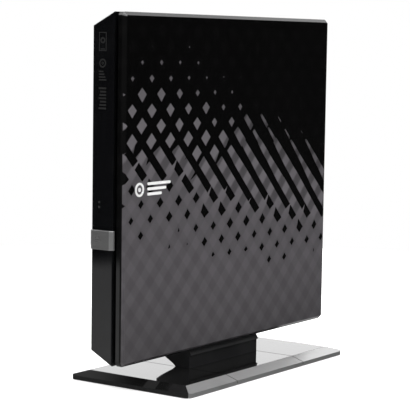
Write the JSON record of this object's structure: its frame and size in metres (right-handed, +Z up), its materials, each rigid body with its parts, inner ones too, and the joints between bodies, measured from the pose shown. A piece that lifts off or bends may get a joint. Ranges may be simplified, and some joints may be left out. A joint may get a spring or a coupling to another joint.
{
  "type": "external optical drive",
  "caption": "Slim external disc drive standing upright in its stand, with a patterned glossy cover, a sliding disc tray and an eject button.",
  "frame": {"origin": "middle of the underside of the whole object, on the desk", "axes": "+X towards the patterned cover, -Y towards the front bezel, +Z up"},
  "size_m": [0.0624, 0.156, 0.1546],
  "materials": {
    "gloss_black": "gloss",
    "case_black": "fine grain",
    "silver_trim": "satin",
    "button_silver": "satin",
    "badge_silver": "polished",
    "rubber_black": "matte",
    "sheet_steel": "brushed",
    "screw_steel": "turned",
    "board_green": "solder mask",
    "chip_black": "matte",
    "tray_black": "fine grain",
    "rail_grey": "satin",
    "lens_glass": "polished",
    "light_clear": "gloss",
    "flex_film": "satin",
    "motor_steel": "satin"
  },
  "bodies": {
    "stand": {"stand_front_plate": "gloss_black", "stand_middle_plate": "gloss_black", "stand_rear_plate": "gloss_black", "stand_front_trim": "silver_trim", "stand_middle_trim": "silver_trim", "stand_rear_trim": "silver_trim", "stand_bottom_plate": "case_black", "stand_pads": "rubber_black", "stand_cradle": "case_black", "wing_screws": "screw_steel", "cradle_screws": "screw_steel", "cradle_pads": "rubber_black"},
    "rail_upper": {"rail_upper": "motor_steel"},
    "rail_lower": {"rail_lower": "motor_steel"},
    "tray": {"disc_tray": "tray_black", "tray_bezel": "gloss_black", "light_pipes": "light_clear", "tray_board": "board_green", "tray_chips": "chip_black", "eject_switch": "chip_black", "latch_solenoid": "motor_steel", "traverse_frame": "rail_grey", "traverse_cover": "sheet_steel", "traverse_grommets": "rubber_black", "traverse_screws": "screw_steel", "guide_rods": "motor_steel", "spindle_motor": "motor_steel", "sled_motor": "motor_steel"},
    "button": {"eject_button": "button_silver"},
    "spindle": {"spindle_rotor": "tray_black", "clamp_jaws": "rail_grey", "hub_ring": "rubber_black"},
    "lead_screw": {"lead_screw": "motor_steel"},
    "sled": {"pickup_sled": "rail_grey"},
    "lens": {"lens_holder": "tray_black", "objective_lens": "lens_glass"},
    "latch": {"latch_lever": "rail_grey"},
    "drive": {"cover_panel": "gloss_black", "cover_badge": "badge_silver", "upper_case": "case_black", "bottom_case": "case_black", "case_screws": "screw_steel", "rubber_feet": "rubber_black", "bridge_board": "board_green", "bridge_chips": "chip_black", "usb_socket": "sheet_steel", "usb_tongue": "chip_black", "sata_socket": "chip_black", "drive_connector": "chip_black", "rear_board": "board_green", "flex_cable": "flex_film", "chassis_pan": "sheet_steel", "chassis_lid": "sheet_steel", "chassis_screws": "screw_steel", "rail_guide_upper": "rail_grey", "rail_guide_lower": "rail_grey", "drive_brackets": "sheet_steel", "bracket_screws": "screw_steel", "latch_post": "motor_steel"}
  },
  "joints": [
    {"name": "drive_lift", "type": "slide", "parent": "stand", "child": "drive", "axis": [0, 0, 1], "range_m": [0, 0.03]},
    {"name": "tray_slide", "type": "slide", "parent": "drive", "child": "tray", "axis": [0, -1, 0], "range_m": [0, 0.128]},
    {"name": "rail_upper_slide", "type": "slide", "parent": "drive", "child": "rail_upper", "axis": [0, -1, 0], "range_m": [0, 0.0641]},
    {"name": "rail_lower_slide", "type": "slide", "parent": "drive", "child": "rail_lower", "axis": [0, -1, 0], "range_m": [0, 0.0641]},
    {"name": "eject_press", "type": "slide", "parent": "tray", "child": "button", "axis": [0, 1, 0], "range_m": [0, 0.0008], "stiffness_N_per_m": 400, "springref_m": -0.0004},
    {"name": "spindle_spin", "type": "hinge", "parent": "tray", "child": "spindle", "pos_m": [0, -0.0105, 0.0836], "axis": [1, 0, 0], "continuous": true},
    {"name": "sled_travel", "type": "slide", "parent": "tray", "child": "sled", "axis": [0, -0.7071, 0.7071], "range_m": [0, 0.0335]},
    {"name": "lead_screw_turn", "type": "hinge", "parent": "tray", "child": "lead_screw", "pos_m": [-0.0026, -0.02464, 0.06946], "axis": [0, -0.7071, 0.7071], "range_deg": [0, 4021]},
    {"name": "lens_focus", "type": "slide", "parent": "sled", "child": "lens", "axis": [1, 0, 0], "range_m": [-0.0003, 0.0004], "stiffness_N_per_m": 20},
    {"name": "latch_swing", "type": "hinge", "parent": "tray", "child": "latch", "pos_m": [-0.0045, -0.0635, 0.0396], "axis": [-1, 0, 0], "range_deg": [0, 14]}
  ],
  "couplings": [
    {"joint": "rail_upper_slide", "follows": "tray_slide", "ratio": 0.5},
    {"joint": "rail_lower_slide", "follows": "tray_slide", "ratio": 0.5},
    {"joint": "lead_screw_turn", "follows": "sled_travel", "rad_per_m": 2094.4}
  ]
}
